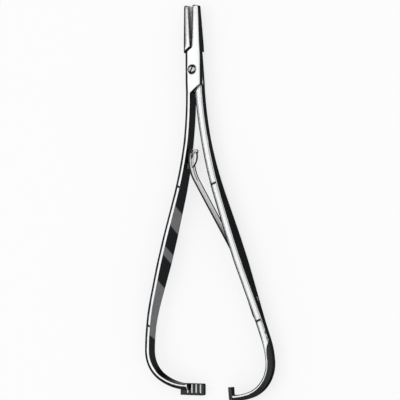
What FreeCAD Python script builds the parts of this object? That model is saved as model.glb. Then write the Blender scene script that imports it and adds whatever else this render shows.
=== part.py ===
import FreeCAD, Part
import math
import os
import Sketcher
from FreeCAD import Placement, Rotation, Vector

# Surgical needle holder with spring handles and a ratchet at the tails.
# Frame: the pivot axis is Z, the jaws point along +Y, and the lap joint's back face lies in Z = 0.
# Each half is drawn as it stands with the jaws closed, then the back half turns by open_angle.

# Driving dimensions, in millimetres and degrees
SIZES = (
    ("open_angle", 4.5, "angle between the halves at rest, where the hook stops them"),
    ("half_depth", 3.3, "depth of one plate of the lap joint"),
    ("plate_gap", 0.04, "running gap between the two plates"),
    ("shoulder_gap", 0.26, "gap at the shoulders with the jaws closed"),
    ("plate_half_width", 4.3, "half the width of the lap joint"),
    ("shoulder_inner_y", 11.5, "inner end of the shoulder under the jaw"),
    ("shoulder_outer_y", 8.5, "outer end of the shoulder under the jaw"),
    ("plate_side_y", 6.0, "where the plate's side runs into the handle"),
    ("heel_corner_y", 7.6, "outer corner of the shoulder over the handle"),
    ("recess_reach", 9.0, "half the width of the cut that makes the lap"),
    ("jaw_root_y", 7.0, "where the jaw begins to taper"),
    ("jaw_tip_width", 2.75, "width of the jaw at its tip"),
    ("jaw_side_end_y", 31.7, "outer end of the tip's curve"),
    ("jaw_face_end_y", 32.3, "inner end of the tip's curve"),
    ("jaw_tip_radius", 1.6, "radius of the tip's curve"),
    ("tip_half_depth", 2.05, "half the depth of the jaw at its tip"),
    ("jaw_depth_y", 13.2, "where the jaw reaches the joint's full depth"),
    ("arm_top_y", 12.0, "upper end of the handle's inner face"),
    ("arm_inset", 1.1, "half the gap between the handles at their upper end"),
    ("arm_thick", 3.0, "thickness of the handle's strip"),
    ("bow_radius", 205.0, "bow of the upper shank"),
    ("bow_turn", 15.4, "slope that the handle reaches"),
    ("front_run", 53.3, "straight length of the left handle"),
    ("front_knee", 96.0, "radius of the left handle's lower bow"),
    ("front_heel", 14.3, "radius of the left heel"),
    ("front_heel_turn", 57.5, "turn of the left heel"),
    ("front_tail", 27.3, "radius of the left tail"),
    ("front_tail_turn", 34.5, "turn of the left tail"),
    ("back_run", 75.6, "straight length of the right handle"),
    ("back_knee", 40.0, "radius of the right handle's lower bow"),
    ("back_heel", 15.4, "radius of the right heel"),
    ("back_heel_turn", 73.5, "turn of the right heel"),
    ("back_tail", 28.0, "radius of the right tail"),
    ("back_tail_turn", 22.5, "turn of the right tail"),
    ("blank_half_depth", 6.4, "half the depth of the blank before its sides are cut"),
    ("profile_top_y", 36.0, "upper end of the side cut"),
    ("shank_end_y", 37.0, "where the handle begins to widen"),
    ("grip_half_depth", 5.6, "half the depth of the handle at its widest"),
    ("grip_start", 19.6, "upper end of the widest part, below the end of the upper bow"),
    ("grip_end", 33.6, "lower end of the widest part, below the end of the upper bow"),
    ("heel_start", 64.6, "where the handle is narrow again, below the end of the upper bow"),
    ("heel_half_depth", 3.25, "half the depth above the heel"),
    ("profile_end", 107.6, "lower end of the side cut, below the end of the upper bow"),
    ("tail_half_depth", 3.0, "half the depth of the tail"),
    ("soft_bend", 150.0, "radius where the handle's depth begins to change"),
    ("grip_bend", 60.0, "radius at the ends of the widest part"),
    ("jaw_bend", 40.0, "radius where the jaw's depth begins to change"),
    ("edge_round", 1.1, "rounding of the jaws' and the joint's outer edges"),
    ("handle_round", 2.0, "rounding of the handles' outer edges"),
    ("mark_width", 0.4, "width of the marks across the handles"),
    ("mark_depth", 0.22, "depth of the marks"),
    ("mark_half_length", 5.0, "half the length of the cut for a mark"),
    ("mark_slant", 25.0, "slant of the marks"),
    ("upper_mark", 7.2, "place of the upper mark, above the end of the upper bow"),
    ("lower_mark", 63.2, "place of the lower mark, below the end of the upper bow"),
    ("groove_width", 0.46, "width of one groove of the jaw's serration"),
    ("groove_depth", 0.22, "depth of the grooves"),
    ("groove_pitch", 1.05, "distance between the grooves"),
    ("groove_first_y", 14.8, "place of the first groove"),
    ("groove_slant", 2.4, "rise of a groove over half its length"),
    ("groove_half_length", 3.5, "half the length of a groove across the jaw"),
    ("screw_shank", 3.0, "diameter of the screw's shank"),
    ("screw_play", 0.03, "radial play of the shank in the front plate"),
    ("screw_head", 4.2, "diameter of the screw's head"),
    ("head_play", 0.06, "radial play of the head in its seat"),
    ("head_seat", 1.3, "depth of the head's seat"),
    ("head_rise", 0.25, "height of the head's crown over the plate"),
    ("crown_flat", 0.2, "radius of the small flat on each dome"),
    ("slot_width", 0.6, "width of the screw's slot"),
    ("slot_depth", 0.7, "depth of the screw's slot"),
    ("slot_angle", 66.0, "direction of the screw's slot"),
    ("rack_lap", 5.9, "how far the rack's block reaches back along the tail"),
    ("rack_reach", 7.8, "how far the rack stands out past the tail"),
    ("rack_lift", 0.24, "upper edge of the rack over the tail's end"),
    ("rack_height", 6.0, "height of the rack"),
    ("rack_base", 3.0, "back face of the rack, behind the middle"),
    ("tooth_crest", 0.45, "crests of the teeth, behind the middle"),
    ("tooth_root", 1.15, "roots of the teeth, behind the middle"),
    ("tooth_pitch", 2.5, "distance between the teeth"),
    ("tooth_drop", 0.35, "width of a tooth's steep flank"),
    ("rack_corner", 0.8, "rounding of the rack's free end"),
    ("catch_lead", 0.57, "left face of the turned-up catch, past the tail's end"),
    ("catch_thick", 1.9, "thickness of the catch"),
    ("catch_rise", 4.0, "upper end of the catch over the tail's end"),
    ("catch_foot", 3.0, "lower end of the catch below the tail's end"),
    ("ridge_pitch", 0.95, "distance between the ridges on the catch"),
    ("ridge_depth", 0.4, "depth of the cuts between the ridges"),
    ("catch_back", 0.2, "back edge of the catch, behind the middle"),
    ("catch_front", 3.3, "front edge of the catch, before the middle"),
    ("catch_corner", 1.6, "rounding of the catch's outer corner"),
    ("spring_thick", 0.65, "thickness of the leaf spring"),
    ("spring_width", 6.0, "width of the leaf spring"),
    ("spring_root", 64.0, "lower end of the spring along the straight handle"),
    ("spring_leave", 35.0, "where the spring leaves the handle"),
    ("spring_bend", 45.0, "radius of the spring's lower bend"),
    ("spring_bend_turn", 11.1, "turn of the lower bend"),
    ("spring_run", 39.9, "straight length of the spring"),
    ("spring_top", 21.0, "radius of the spring's upper bow"),
    ("spring_top_turn", 42.5, "turn of the upper bow"),
    ("eye_radius", 1.15, "outer radius of the rolled eye"),
    ("window_width", 1.9, "width of the slot in the spring"),
    ("window_start", 1.08, "upper end of the slot below the eye's centre"),
    ("window_drop", 14.68, "lower end of the slot below the eye's centre"),
    ("rivet_along", 55.0, "place of the rivet along the straight handle"),
    ("rivet_shank", 2.2, "diameter of the rivet's shank"),
    ("rivet_head", 3.8, "diameter of the rivet's dome"),
    ("rivet_rise", 1.2, "height of the rivet's dome"),
    ("hook_thick", 1.5, "thickness of the hook's plate"),
    ("hook_clear", 0.12, "play of the eye in the hook"),
    ("hook_shank", 1.7, "diameter of the hook's shank"),
    ("hook_seat_y", 7.7, "place of the shank, below the eye"),
    ("hook_foot", 1.5, "half the length of the hook's foot"),
    ("hook_gap", 0.04, "gap between the hook's foot and the handle"),
    ("hook_inner", 6.5, "radius of the hook's inner edge"),
    ("hook_outer", 7.6, "radius of the hook's outer edge"),
    ("hook_heel_x", 0.6, "lower end of the outer edge, left of the eye"),
    ("hook_heel_y", 8.3, "lower end of the outer edge, below the eye"),
    ("hook_crest_x", 1.85, "upper end of the outer edge, right of the eye"),
    ("hook_crest_y", 0.5, "upper end of the outer edge, below the eye"),
)

# Sizes that follow from the driving ones
DERIVED = (
    ("shoulder_fall", "=(shoulder_inner_y - shoulder_outer_y) / plate_half_width"),
    ("heel_fall", "=(arm_top_y - heel_corner_y) / (plate_half_width + arm_inset)"),
    ("upper_low_y", "=shoulder_inner_y + shoulder_gap - recess_reach * shoulder_fall"),
    ("upper_high_y", "=shoulder_inner_y + shoulder_gap + recess_reach * shoulder_fall"),
    ("lower_high_y", "=-heel_corner_y - shoulder_gap + (recess_reach - plate_half_width) * heel_fall"),
    ("lower_low_y", "=-heel_corner_y - shoulder_gap - (recess_reach + plate_half_width) * heel_fall"),
    ("straight_x", "=arm_inset + bow_radius * (1 - cos(bow_turn))"),
    ("straight_y", "=-arm_top_y - bow_radius * sin(bow_turn)"),
    ("grip_start_y", "=grip_start - straight_y"),
    ("grip_end_y", "=grip_end - straight_y"),
    ("heel_start_y", "=heel_start - straight_y"),
    ("profile_end_y", "=profile_end - straight_y"),
    ("upper_mark_y", "=-straight_y - upper_mark"),
    ("lower_mark_y", "=-straight_y + lower_mark"),
    ("shank_rise", "=(grip_half_depth - half_depth) / (grip_start_y - shank_end_y)"),
    ("heel_drop", "=(grip_half_depth - heel_half_depth) / (heel_start_y - grip_end_y)"),
    ("upper_mark_z", "=half_depth + shank_rise * (upper_mark_y - shank_end_y) - mark_depth"),
    ("lower_mark_z", "=grip_half_depth - heel_drop * (lower_mark_y - grip_end_y) - mark_depth"),
    ("upper_mark_x", "=straight_x - upper_mark * tan(bow_turn) + arm_thick / 2"),
    ("lower_mark_x", "=straight_x + lower_mark * tan(bow_turn) + arm_thick / 2"),
    ("front_knee_x", "=straight_x + front_run * sin(bow_turn)"),
    ("front_knee_y", "=straight_y - front_run * cos(bow_turn)"),
    ("front_heel_x", "=front_knee_x + front_knee * (1 - cos(bow_turn))"),
    ("front_heel_y", "=front_knee_y - front_knee * sin(bow_turn)"),
    ("front_tail_x", "=front_heel_x - front_heel * (1 - cos(front_heel_turn))"),
    ("front_tail_y", "=front_heel_y - front_heel * sin(front_heel_turn)"),
    ("front_end_turn", "=front_heel_turn + front_tail_turn"),
    ("front_end_x", "=front_tail_x - front_tail * (cos(front_heel_turn) - cos(front_end_turn))"),
    ("front_end_y", "=front_tail_y + front_tail * (sin(front_heel_turn) - sin(front_end_turn))"),
    ("rack_left", "=front_end_x + rack_lap"),
    ("rack_right", "=rack_reach - front_end_x"),
    ("rack_top_y", "=-front_end_y - rack_lift"),
    ("back_knee_x", "=straight_x + back_run * sin(bow_turn)"),
    ("back_knee_y", "=straight_y - back_run * cos(bow_turn)"),
    ("back_heel_x", "=back_knee_x + back_knee * (1 - cos(bow_turn))"),
    ("back_heel_y", "=back_knee_y - back_knee * sin(bow_turn)"),
    ("back_tail_x", "=back_heel_x - back_heel * (1 - cos(back_heel_turn))"),
    ("back_tail_y", "=back_heel_y - back_heel * sin(back_heel_turn)"),
    ("back_end_turn", "=back_heel_turn + back_tail_turn"),
    ("back_end_x", "=back_tail_x - back_tail * (cos(back_heel_turn) - cos(back_end_turn))"),
    ("back_end_y", "=back_tail_y + back_tail * (sin(back_heel_turn) - sin(back_end_turn))"),
    ("catch_left", "=back_end_x - catch_lead"),
    ("catch_top_y", "=-back_end_y - catch_rise"),
    ("catch_low_y", "=-back_end_y + catch_foot"),
    ("root_x", "=straight_x + spring_root * sin(bow_turn)"),
    ("root_y", "=straight_y - spring_root * cos(bow_turn)"),
    ("leave_x", "=straight_x + spring_leave * sin(bow_turn)"),
    ("leave_y", "=straight_y - spring_leave * cos(bow_turn)"),
    ("rivet_x", "=straight_x + rivet_along * sin(bow_turn)"),
    ("rivet_y", "=straight_y - rivet_along * cos(bow_turn)"),
    ("run_slope", "=bow_turn + spring_bend_turn"),
    ("top_slope", "=run_slope - spring_top_turn"),
    ("bend_x", "=leave_x - spring_bend * (cos(bow_turn) - cos(run_slope))"),
    ("bend_y", "=leave_y + spring_bend * (sin(run_slope) - sin(bow_turn))"),
    ("bow_x", "=bend_x - spring_run * sin(run_slope)"),
    ("bow_y", "=bend_y + spring_run * cos(run_slope)"),
    ("end_x", "=bow_x + spring_top * (cos(run_slope) - cos(top_slope))"),
    ("end_y", "=bow_y - spring_top * (sin(top_slope) - sin(run_slope))"),
    ("eye_x", "=end_x + (eye_radius - spring_thick) * cos(top_slope)"),
    ("eye_y", "=end_y + (eye_radius - spring_thick) * sin(top_slope)"),
    ("hold_x", "=eye_x * cos(open_angle) - eye_y * sin(open_angle)"),
    ("hold_y", "=eye_x * sin(open_angle) + eye_y * cos(open_angle)"),
    ("window_top_y", "=-eye_y + window_start"),
    ("window_low_y", "=-eye_y + window_drop"),
    ("hook_y", "=hold_y - hook_seat_y"),
    ("hook_drop", "=-hook_y - arm_top_y"),
    ("hook_x", "=-arm_inset - bow_radius + sqrt(bow_radius * bow_radius - hook_drop * hook_drop)"),
    ("hook_seat_x", "=hold_x - hook_x"),
    ("hook_slope", "=asin(hook_drop / bow_radius) / 1 deg"),
    ("hook_lean", "=hook_foot * tan(hook_slope)"),
    ("hook_upper_x", "=hook_gap + hook_lean - hook_seat_x"),
    ("hook_upper_y", "=hook_foot - hook_seat_y"),
    ("hook_lower_x", "=hook_gap - hook_lean - hook_seat_x"),
    ("hook_lower_y", "=-hook_foot - hook_seat_y"),
)

GROOVES = 16
TEETH = 4

doc = FreeCAD.newDocument("needle_holder")
sheet = doc.addObject("Spreadsheet::Sheet", "dims")
for row, (alias, size, note) in enumerate(SIZES, start=1):
    sheet.set(f"A{row}", alias)
    sheet.set(f"B{row}", str(size))
    sheet.setAlias(f"B{row}", alias)
    sheet.set(f"C{row}", note)
for row, (alias, rule) in enumerate(DERIVED, start=len(SIZES) + 1):
    sheet.set(f"A{row}", alias)
    sheet.set(f"B{row}", rule)
    sheet.setAlias(f"B{row}", alias)
doc.recompute()


# Terms: a term is "0", the name of a cell, "-" and the name of a cell, or a pair (value, formula)
def value(term):
    if isinstance(term, tuple):
        return term[0]
    if term == "0":
        return 0.0
    if term.startswith("-"):
        return -value(term[1:])
    return float(sheet.get(term))


def rule(term):
    if isinstance(term, tuple):
        return term[1]
    if term == "0":
        return "0"
    if term.startswith("-"):
        return f"-dims.{term[1:]}"
    return f"dims.{term}"


def flip(term, side):
    if side > 0 or term == "0":
        return term
    if isinstance(term, tuple):
        return (-term[0], f"-({term[1]})")
    return term[1:] if term.startswith("-") else f"-{term}"


# Bodies, sketches and features
def new_body(label):
    body = doc.addObject("PartDesign::Body", label)
    body.Label = label
    return body


def base_part(body, role):
    return next(item for item in body.Origin.OriginFeatures if item.Role == role)


def new_sketch(body, label, role="XY_Plane", offset=None):
    sketch = body.newObject("Sketcher::SketchObject", label)
    sketch.AttachmentSupport = [(base_part(body, role), "")]
    sketch.MapMode = "FlatFace"
    if offset is not None:
        sketch.AttachmentOffset = Placement(Vector(0, 0, value(offset)), Rotation())
        sketch.setExpression(".AttachmentOffset.Base.z", rule(offset))
    return sketch


def constrain(sketch, formula, *parts):
    index = sketch.addConstraint(Sketcher.Constraint(*parts))
    if formula is not None:
        sketch.setExpression(f".Constraints[{index}]", formula)


def pin(sketch, geo, pos, x, y):
    constrain(sketch, rule(x), "DistanceX", -1, 1, geo, pos, value(x))
    constrain(sketch, rule(y), "DistanceY", -1, 1, geo, pos, value(y))


def join(sketch, one, two, kind="Coincident"):
    sketch.addConstraint(Sketcher.Constraint(kind, one[0], one[2], two[0], two[1]))


def line(sketch, start, end):
    geo = sketch.addGeometry(Part.LineSegment(Vector(*start, 0), Vector(*end, 0)))
    return (geo, 1, 2)


def arc(sketch, centre, start, end, counter_clockwise):
    radius = math.dist(centre, start)
    first = math.atan2(start[1] - centre[1], start[0] - centre[0])
    last = math.atan2(end[1] - centre[1], end[0] - centre[0])
    if not counter_clockwise:
        first, last = last, first
    if last <= first:
        last += 2 * math.pi
    circle = Part.Circle(Vector(*centre, 0), Vector(0, 0, 1), radius)
    geo = sketch.addGeometry(Part.ArcOfCircle(circle, first, last))
    return (geo, 1, 2) if counter_clockwise else (geo, 2, 1)


def arc_centre(start, end, radius, left):
    """Centre of an arc between two points, to the left or right of the way from start to end."""
    half = math.dist(start, end) / 2
    rise = math.sqrt(radius * radius - half * half)
    ux, uy = (end[0] - start[0]) / (2 * half), (end[1] - start[1]) / (2 * half)
    side = 1 if left else -1
    return ((start[0] + end[0]) / 2 - side * uy * rise, (start[1] + end[1]) / 2 + side * ux * rise)


def outline(sketch, corners):
    """A closed outline through pinned corners. A corner's third entry bends the edge after it: a radius term
    and a side, 1 for an arc that turns left and -1 for one that turns right."""
    edges = []
    for index, corner in enumerate(corners):
        following = corners[(index + 1) % len(corners)]
        start = (value(corner[0]), value(corner[1]))
        end = (value(following[0]), value(following[1]))
        if len(corner) == 2:
            edges.append(line(sketch, start, end))
            continue
        radius, turn = corner[2]
        centre = arc_centre(start, end, value(radius), turn > 0)
        edge = arc(sketch, centre, start, end, turn > 0)
        constrain(sketch, rule(radius), "Radius", edge[0], value(radius))
        edges.append(edge)
    for index, edge in enumerate(edges):
        join(sketch, edges[index - 1], edge)
        pin(sketch, edge[0], edge[1], corners[index][0], corners[index][1])
    return edges


def rounded(sketch, corners):
    """A closed outline of straight edges whose corners have a radius, or None for a sharp one."""
    places = [(value(x), value(y)) for x, y, radius in corners]
    count = len(corners)
    cuts = []
    for index, (x, y, radius) in enumerate(corners):
        here, before, after = places[index], places[index - 1], places[(index + 1) % count]
        if radius is None:
            cuts.append((here, here))
            continue
        back = math.atan2(before[1] - here[1], before[0] - here[0])
        ahead = math.atan2(after[1] - here[1], after[0] - here[0])
        half = abs((back - ahead + math.pi) % (2 * math.pi) - math.pi) / 2
        reach = value(radius) / math.tan(half)
        cuts.append(tuple((here[0] + reach * math.cos(a), here[1] + reach * math.sin(a)) for a in (back, ahead)))
    sides = [line(sketch, cuts[index][1], cuts[(index + 1) % count][0]) for index in range(count)]
    for index, (x, y, radius) in enumerate(corners):
        before, after = sides[index - 1], sides[index]
        if radius is None:
            join(sketch, before, after)
            pin(sketch, after[0], after[1], x, y)
            continue
        start, end = cuts[index]
        here = places[index]
        cross = (here[0] - start[0]) * (end[1] - here[1]) - (here[1] - start[1]) * (end[0] - here[0])
        centre = arc_centre(start, end, value(radius), cross > 0)
        edge = arc(sketch, centre, start, end, cross > 0)
        join(sketch, before, edge, "Tangent")
        join(sketch, edge, after, "Tangent")
        constrain(sketch, rule(radius), "Radius", edge[0], value(radius))
        corner = sketch.addGeometry(Part.Point(Vector(*here, 0)), True)
        pin(sketch, corner, 1, x, y)
        for side in (before, after):
            sketch.addConstraint(Sketcher.Constraint("PointOnObject", corner, 1, side[0]))


def band(sketch, side, start, heading, thickness, away, steps):
    """Two lines that run side by side, the first from start and the second offset by the thickness, with away
    1 to the left of the way and -1 to the right. A step is ("line", length) or ("arc", radius, turn, direction),
    with direction 1 for a turn to the left, and the last step is an arc. Headings are in degrees from +X, and
    side -1 mirrors it all in X."""
    chains = []
    for offset in (0.0, value(thickness) * away):
        x, y = value(start[0]), value(start[1])
        angle = math.radians(heading)
        x, y = x - offset * math.sin(angle), y + offset * math.cos(angle)
        chain = []
        for step in steps:
            if step[0] == "line":
                length = value(step[1])
                end = (x + length * math.cos(angle), y + length * math.sin(angle))
                chain.append(line(sketch, (side * x, y), (side * end[0], end[1])))
            else:
                kind, radius, turn, direction = step
                reach = value(radius) - direction * offset
                centre = (x - direction * reach * math.sin(angle), y + direction * reach * math.cos(angle))
                angle += direction * math.radians(value(turn))
                sweep = direction * reach
                end = (centre[0] + sweep * math.sin(angle), centre[1] - sweep * math.cos(angle))
                points = [(side * px, py) for px, py in (centre, (x, y), end)]
                chain.append(arc(sketch, *points, direction * side > 0))
            x, y = end
        for one, two in zip(chain, chain[1:]):
            join(sketch, one, two, "Tangent")
        chains.append(chain)
    first, second = chains
    pin(sketch, first[0][0], first[0][1], flip(start[0], side), start[1])
    for step, one, two in zip(steps, first, second):
        if step[0] == "line":
            constrain(sketch, rule(step[1]), "Distance", one[0], value(step[1]))
            sketch.addConstraint(Sketcher.Constraint("Parallel", one[0], two[0]))
            continue
        constrain(sketch, rule(step[1]), "Radius", one[0], value(step[1]))
        constrain(sketch, rule(step[2]), "Angle", one[0], math.radians(value(step[2])))
        sketch.addConstraint(Sketcher.Constraint("Coincident", one[0], 3, two[0], 3))
    kind, radius, turn, direction = steps[-1]
    grow = -direction * away
    wide = value(radius) + grow * value(thickness)
    formula = f"{rule(radius)} {'+' if grow > 0 else '-'} {rule(thickness)}"
    constrain(sketch, formula, "Radius", second[-1][0], wide)
    cap = line(
        sketch,
        tuple(sketch.getPoint(first[-1][0], first[-1][2]))[:2],
        tuple(sketch.getPoint(second[-1][0], second[-1][2]))[:2],
    )
    sketch.addConstraint(Sketcher.Constraint("Coincident", cap[0], 1, first[-1][0], first[-1][2]))
    sketch.addConstraint(Sketcher.Constraint("Coincident", cap[0], 2, second[-1][0], second[-1][2]))
    sketch.addConstraint(Sketcher.Constraint("PointOnObject", first[-1][0], 3, cap[0]))
    return first, second


def pad(body, label, sketch, length, both=False, reverse=False):
    feature = body.newObject("PartDesign::Pad", label)
    feature.Profile = sketch
    feature.Length = value(length)
    feature.setExpression("Length", rule(length))
    feature.Midplane = both
    feature.Reversed = reverse
    sketch.Visibility = False
    return feature


def pocket(body, label, sketch, length=None, both=False, reverse=False):
    feature = body.newObject("PartDesign::Pocket", label)
    feature.Profile = sketch
    if length is None:
        feature.Type = "ThroughAll"
    else:
        feature.Length = value(length)
        feature.setExpression("Length", rule(length))
    feature.Midplane = both
    feature.Reversed = reverse
    sketch.Visibility = False
    return feature


def mirrored(body, label, feature):
    copy = body.newObject("PartDesign::Mirrored", label)
    copy.Originals = [feature]
    copy.MirrorPlane = (base_part(body, "XY_Plane"), [""])
    body.Tip = copy
    return copy


def row(body, label, feature, axis, pitch, count):
    pattern = body.newObject("PartDesign::LinearPattern", label)
    pattern.Originals = [feature]
    pattern.Direction = (base_part(body, axis), [""])
    pattern.Length = value(pitch) * (count - 1)
    pattern.setExpression("Length", f"{rule(pitch)} * {count - 1}")
    pattern.Occurrences = count
    body.Tip = pattern
    return pattern


def round_edges(body, label, places, radius, upright=False):
    """Rounds the edges nearest to the given places, with the smooth edges that run on from them. Upright edges are
    those along the depth, and only they or only the others are taken."""
    base = body.Tip
    names = set()
    for place in places:
        corner = Part.Vertex(Vector(*place))
        reach = {}
        for number, edge in enumerate(base.Shape.Edges, start=1):
            middle = (edge.FirstParameter + edge.LastParameter) / 2
            if (abs(edge.tangentAt(middle).z) > 0.7) == upright:
                reach[number] = edge.distToShape(corner)[0]
        names.add(f"Edge{min(reach, key=reach.get)}")
    feature = body.newObject("PartDesign::Fillet", label)
    feature.Base = (base, sorted(names))
    feature.Radius = value(radius)
    feature.setExpression("Radius", rule(radius))
    doc.recompute()
    return feature


def circle_sketch(body, label, diameter, offset=None, play=None):
    sketch = new_sketch(body, label, offset=offset)
    radius = value(diameter) / 2
    formula = f"{rule(diameter)} / 2"
    if play is not None:
        radius += value(play)
        formula += f" + {rule(play)}"
    geo = sketch.addGeometry(Part.Circle(Vector(0, 0, 0), Vector(0, 0, 1), radius))
    sketch.addConstraint(Sketcher.Constraint("Coincident", geo, 3, -1, 1))
    constrain(sketch, formula, "Radius", geo, radius)
    return sketch


def cross_hole(body, label, x, y, slope, diameter):
    """A round hole through the strip, along its outward normal."""
    hole = body.newObject("PartDesign::SubtractiveCylinder", label)
    hole.Radius = value(diameter) / 2
    hole.setExpression("Radius", f"{rule(diameter)} / 2")
    hole.Height = 12.0
    hole.AttachmentSupport = [(base_part(body, "XY_Plane"), "")]
    hole.MapMode = "FlatFace"
    turn = Rotation(Vector(0, 0, 1), slope).multiply(Rotation(Vector(0, 1, 0), 90))
    inward = turn.multVec(Vector(0, 0, -6.0))
    hole.AttachmentOffset = Placement(Vector(value(x), value(y), 0) + inward, turn)
    hole.setExpression(".AttachmentOffset.Base.x", f"{rule(x)} + {inward.x:.4f}")
    hole.setExpression(".AttachmentOffset.Base.y", f"{rule(y)} + {inward.y:.4f}")
    return hole


# The two halves
def half(label, side, handle):
    """One forged half with its arm on the given side of the closed tool and its jaw on the other."""
    body = new_body(label)
    body.Placement = Placement(Vector(0, 0, value("half_depth")), Rotation())
    body.setExpression(".Placement.Base.z", "dims.half_depth")

    blank = new_sketch(body, f"{label}_outline")
    steps = (
        ("arc", "bow_radius", "bow_turn", 1),
        ("line", f"{handle}_run"),
        ("arc", f"{handle}_knee", "bow_turn", -1),
        ("arc", f"{handle}_heel", f"{handle}_heel_turn", -1),
        ("arc", f"{handle}_tail", f"{handle}_tail_turn", -1),
    )
    inner, outer = band(blank, side, ("arm_inset", "-arm_top_y"), -90.0, "arm_thick", 1, steps)
    blank.addConstraint(Sketcher.Constraint("Horizontal", inner[0][0], inner[0][1], inner[0][0], 3))
    blank.addConstraint(Sketcher.Constraint("Horizontal", inner[0][0], inner[0][1], outer[0][0], outer[0][1]))
    corners = (
        (flip("-plate_half_width", side), "-heel_corner_y"),
        (flip("-plate_half_width", side), "jaw_root_y"),
        (flip("-jaw_tip_width", side), "jaw_side_end_y"),
        ("0", "jaw_face_end_y"),
        ("0", "shoulder_inner_y"),
        (flip("plate_half_width", side), "shoulder_outer_y"),
        (flip("plate_half_width", side), "-plate_side_y"),
    )
    places = [(value(x), value(y)) for x, y in corners]
    chain = []
    start = tuple(blank.getPoint(inner[0][0], inner[0][1]))[:2]
    end = tuple(blank.getPoint(outer[0][0], outer[0][1]))[:2]
    for index, (one, two) in enumerate(zip([start] + places, places + [end])):
        if index == 3:
            centre = arc_centre(one, two, value("jaw_tip_radius"), side < 0)
            edge = arc(blank, centre, one, two, side < 0)
            constrain(blank, "dims.jaw_tip_radius", "Radius", edge[0], value("jaw_tip_radius"))
        else:
            edge = line(blank, one, two)
        chain.append(edge)
    for index, (x, y) in enumerate(corners):
        join(blank, chain[index], chain[index + 1])
        pin(blank, chain[index][0], chain[index][2], x, y)
    blank.addConstraint(Sketcher.Constraint("Coincident", chain[0][0], chain[0][1], inner[0][0], inner[0][1]))
    blank.addConstraint(Sketcher.Constraint("Coincident", chain[-1][0], chain[-1][2], outer[0][0], outer[0][1]))
    pad(body, f"{label}_blank", blank, (2 * value("blank_half_depth"), "2 * dims.blank_half_depth"), both=True)

    # The depth along the tool: a slim tip, a wide grip and a slim tail
    sides = new_sketch(body, f"{label}_side_profile", "YZ_Plane")
    top = (value("blank_half_depth") + 1, "dims.blank_half_depth + 1")
    rounded(
        sides,
        (
            ("profile_top_y", top, None),
            ("profile_top_y", "tip_half_depth", None),
            ("jaw_depth_y", "half_depth", "jaw_bend"),
            ("-shank_end_y", "half_depth", "soft_bend"),
            ("-grip_start_y", "grip_half_depth", "grip_bend"),
            ("-grip_end_y", "grip_half_depth", "grip_bend"),
            ("-heel_start_y", "heel_half_depth", "soft_bend"),
            ("-profile_end_y", "tail_half_depth", None),
            ("-profile_end_y", top, None),
        ),
    )
    front_side = pocket(body, f"{label}_front_side", sides, both=True)
    mirrored(body, f"{label}_back_side", front_side)
    doc.recompute()
    depth, width = value("half_depth"), value("plate_half_width")
    handle_side = [(side * width, -0.75 * value("arm_top_y"), z) for z in (depth, -depth)]
    jaw_side = [(-side * width, 0.0, z) for z in (depth, -depth)]
    round_edges(body, f"{label}_handle_round", handle_side, "handle_round")
    round_edges(body, f"{label}_jaw_round", jaw_side, "edge_round")
    return body


def marks(body, label, side):
    """Fine slanted lines cut across the handle, front and back, where its depth begins and ends to swell."""
    for name in ("upper", "lower"):
        sketch = new_sketch(body, f"{label}_{name}_mark_outline", offset=f"{name}_mark_z")
        slant = side * value("mark_slant")
        sketch.AttachmentOffset = Placement(
            Vector(side * value(f"{name}_mark_x"), -value(f"{name}_mark_y"), value(f"{name}_mark_z")),
            Rotation(Vector(0, 0, 1), slant),
        )
        sketch.setExpression(".AttachmentOffset.Base.x", rule(flip(f"{name}_mark_x", side)))
        sketch.setExpression(".AttachmentOffset.Base.y", f"-dims.{name}_mark_y")
        sketch.setExpression(".AttachmentOffset.Rotation.Angle", rule(flip("mark_slant", side)))
        half_width = (value("mark_width") / 2, "dims.mark_width / 2")
        outline(
            sketch,
            (
                ("-mark_half_length", flip(half_width, -1)),
                ("mark_half_length", flip(half_width, -1)),
                ("mark_half_length", half_width),
                ("-mark_half_length", half_width),
            ),
        )
        cut = pocket(body, f"{label}_{name}_mark", sketch, reverse=True)
        doc.recompute()
        mirrored(body, f"{label}_{name}_mark_behind", cut)
        doc.recompute()


def plate_recess(body, label, side):
    """Clears the depth that the other half's plate takes."""
    floor = (side * -value("plate_gap") / 2, f"{'-' if side > 0 else ''}dims.plate_gap / 2")
    sketch = new_sketch(body, f"{label}_recess_outline", offset=floor)
    outline(
        sketch,
        (
            (flip("-recess_reach", side), "upper_low_y"),
            (flip("recess_reach", side), "upper_high_y"),
            (flip("recess_reach", side), "lower_high_y"),
            (flip("-recess_reach", side), "lower_low_y"),
        ),
    )
    return pocket(body, f"{label}_recess", sketch, reverse=side > 0)


def serration(body, label, side):
    """Crossed grooves in the jaw's face."""
    half_width = value("groove_width") / 2
    for number, lean in enumerate((1, -1), start=1):
        sketch = new_sketch(body, f"{label}_groove_{number}", "YZ_Plane")
        corners = []
        for end, edge in ((-1, -1), (-1, 1), (1, 1), (1, -1)):
            shift = lean * end * value("groove_slant") + edge * half_width
            formula = f"dims.groove_first_y + {lean * end} * dims.groove_slant + {edge} * dims.groove_width / 2"
            reach = "groove_half_length" if end > 0 else "-groove_half_length"
            corners.append(((value("groove_first_y") + shift, formula), reach))
        outline(sketch, corners)
        groove = pocket(body, f"{label}_cut_{number}", sketch, "groove_depth", reverse=side < 0)
        doc.recompute()
        row(body, f"{label}_grooves_{number}", groove, "Y_Axis", "groove_pitch", GROOVES)
        doc.recompute()


front = half("front_half", -1, "front")
back = half("back_half", 1, "back")
back.Placement = Placement(back.Placement.Base, Rotation(Vector(0, 0, 1), value("open_angle")))
back.setExpression(".Placement.Rotation.Angle", "dims.open_angle")
doc.recompute()

for body, label, side in ((front, "front_half", -1), (back, "back_half", 1)):
    marks(body, label, side)
    plate_recess(body, label, side)
    doc.recompute()

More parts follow.
